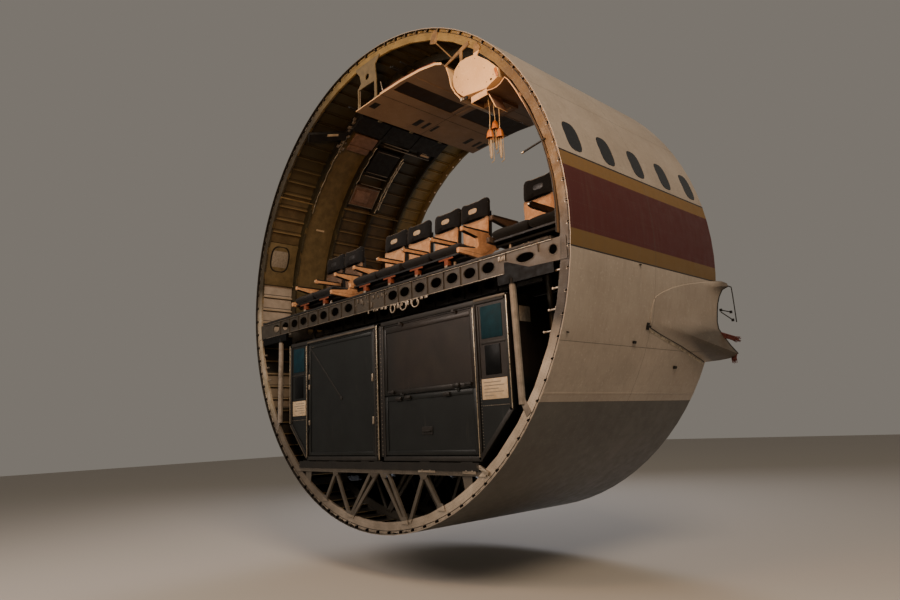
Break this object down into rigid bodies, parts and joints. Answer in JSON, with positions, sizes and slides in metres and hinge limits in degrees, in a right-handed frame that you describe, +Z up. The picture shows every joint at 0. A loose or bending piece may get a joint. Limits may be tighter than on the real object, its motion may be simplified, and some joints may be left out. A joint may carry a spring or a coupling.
{
  "type": "airliner fuselage section",
  "caption": "Short cut-out barrel of a twin-aisle airliner with cabin floor, seats, ceiling, stowage bin and a cargo hold with containers.",
  "frame": {"origin": "on the barrel's axis in the plane of the near cut", "axes": "+X to the barrel's right, +Y along its axis from the near cut to the far cut, +Z up"},
  "size_m": [5.7621, 2.6537, 5.6366],
  "materials": {
    "skin_paint": "satin",
    "frame_aluminium": "satin",
    "green_primer": "matte",
    "floor_board": "matte",
    "container_sheet": "matte",
    "cabin_panel": "satin",
    "mask_silicone": "satin",
    "clear_hose": "satin",
    "dark_fitting": "satin",
    "blanket": "matte",
    "seat_fabric": "matte",
    "armrest_leather": "satin",
    "window_pane": "gloss",
    "accent_panel": "satin",
    "white_placard": "satin",
    "black_rubber": "matte"
  },
  "bodies": {
    "root": {"skin_crown": "skin_paint", "skin_right": "skin_paint", "skin_left": "skin_paint", "skin_belly": "skin_paint", "fairing_stub": "skin_paint", "ring_frame_1": "frame_aluminium", "ring_frame_2": "frame_aluminium", "ring_frame_3": "frame_aluminium", "ring_frame_4": "frame_aluminium", "ring_frame_5": "frame_aluminium", "ring_frame_6": "frame_aluminium", "floor_beam_1": "frame_aluminium", "floor_beam_2": "frame_aluminium", "floor_beam_3": "frame_aluminium", "floor_beam_4": "frame_aluminium", "floor_beam_5": "frame_aluminium", "floor_beam_6": "frame_aluminium", "side_strut_right": "frame_aluminium", "side_strut_left": "frame_aluminium", "hold_floor": "frame_aluminium", "seat_frame_left": "frame_aluminium", "seat_frame_centre": "frame_aluminium", "seat_frame_right": "frame_aluminium", "ceiling_hangers": "green_primer", "wall_trim_panel": "green_primer", "cabin_deck": "floor_board", "container_right": "container_sheet", "container_left": "container_sheet", "ceiling_panel": "cabin_panel", "stowage_bin": "cabin_panel", "service_unit": "cabin_panel", "sidewall_liner": "cabin_panel", "oxygen_mask_1": "mask_silicone", "oxygen_mask_2": "mask_silicone", "mask_hose_1": "clear_hose", "mask_hose_2": "clear_hose", "air_duct": "dark_fitting", "light_rail": "dark_fitting", "hold_liner": "dark_fitting", "insulation_pad": "blanket", "seat_cushion_left_1": "seat_fabric", "seat_cushion_centre_1": "seat_fabric", "seat_cushion_centre_2": "seat_fabric", "seat_cushion_right_1": "seat_fabric"},
    "upper_leaf": {"container_right_upper_leaf": "container_sheet"},
    "lower_leaf": {"container_right_lower_leaf": "container_sheet"},
    "left_door": {"container_left_door": "container_sheet"},
    "bin_door": {"stowage_bin_door": "cabin_panel"},
    "lid": {"mask_lid": "cabin_panel"},
    "back_left_1": {"seat_back_left_1": "seat_fabric"},
    "back_left_2": {"seat_back_left_2": "seat_fabric"},
    "back_centre_1": {"seat_back_centre_1": "seat_fabric"},
    "back_centre_2": {"seat_back_centre_2": "seat_fabric"},
    "back_centre_3": {"seat_back_centre_3": "seat_fabric"},
    "back_centre_4": {"seat_back_centre_4": "seat_fabric"},
    "back_right_1": {"seat_back_right_1": "seat_fabric"},
    "back_right_2": {"seat_back_right_2": "seat_fabric"},
    "arm_1": {"armrest_1": "armrest_leather"},
    "arm_2": {"armrest_2": "armrest_leather"},
    "arm_3": {"armrest_3": "armrest_leather"}
  },
  "joints": [
    {"name": "container_upper_leaf_hinge", "type": "hinge", "parent": "root", "child": "upper_leaf", "pos_m": [0.9, 0.01, -0.627], "axis": [-1, 0, 0], "range_deg": [0, 90]},
    {"name": "container_lower_leaf_fold", "type": "hinge", "parent": "upper_leaf", "child": "lower_leaf", "pos_m": [0.9, 0.01, -1.38], "axis": [-1, 0, 0], "range_deg": [0, 170]},
    {"name": "container_left_door_hinge", "type": "hinge", "parent": "root", "child": "left_door", "pos_m": [-1.393, 0.01, -1.315], "axis": [0, 0, -1], "range_deg": [0, 110]},
    {"name": "bin_door_hinge", "type": "hinge", "parent": "root", "child": "bin_door", "pos_m": [1.392, 0.267, 2.008], "axis": [0, 1, 0], "range_deg": [0, 65]},
    {"name": "mask_lid_hinge", "type": "hinge", "parent": "root", "child": "lid", "pos_m": [1.972, 0.115, 1.44], "axis": [0, 1, 0], "range_deg": [-40, 30]},
    {"name": "recline_left_1", "type": "hinge", "parent": "root", "child": "back_left_1", "pos_m": [-2.2525, 0.985, 0.268], "axis": [-1, 0, 0], "range_deg": [0, 12]},
    {"name": "recline_left_2", "type": "hinge", "parent": "root", "child": "back_left_2", "pos_m": [-1.7375, 0.985, 0.268], "axis": [-1, 0, 0], "range_deg": [0, 12]},
    {"name": "recline_centre_1", "type": "hinge", "parent": "root", "child": "back_centre_1", "pos_m": [-0.7725, 0.985, 0.268], "axis": [-1, 0, 0], "range_deg": [0, 12]},
    {"name": "recline_centre_2", "type": "hinge", "parent": "root", "child": "back_centre_2", "pos_m": [-0.2575, 0.985, 0.268], "axis": [-1, 0, 0], "range_deg": [0, 12]},
    {"name": "recline_centre_3", "type": "hinge", "parent": "root", "child": "back_centre_3", "pos_m": [0.2575, 0.985, 0.268], "axis": [-1, 0, 0], "range_deg": [0, 12]},
    {"name": "recline_centre_4", "type": "hinge", "parent": "root", "child": "back_centre_4", "pos_m": [0.7725, 0.985, 0.268], "axis": [-1, 0, 0], "range_deg": [0, 12]},
    {"name": "recline_right_1", "type": "hinge", "parent": "root", "child": "back_right_1", "pos_m": [1.7375, 0.985, 0.268], "axis": [-1, 0, 0], "range_deg": [0, 12]},
    {"name": "recline_right_2", "type": "hinge", "parent": "root", "child": "back_right_2", "pos_m": [2.2525, 0.985, 0.268], "axis": [-1, 0, 0], "range_deg": [0, 12]},
    {"name": "armrest_lift_1", "type": "hinge", "parent": "root", "child": "arm_1", "pos_m": [-0.515, 0.934, 0.396], "axis": [-1, 0, 0], "range_deg": [0, 100]},
    {"name": "armrest_lift_2", "type": "hinge", "parent": "root", "child": "arm_2", "pos_m": [0, 0.934, 0.396], "axis": [-1, 0, 0], "range_deg": [0, 100]},
    {"name": "armrest_lift_3", "type": "hinge", "parent": "root", "child": "arm_3", "pos_m": [0.515, 0.934, 0.396], "axis": [-1, 0, 0], "range_deg": [0, 100]}
  ]
}
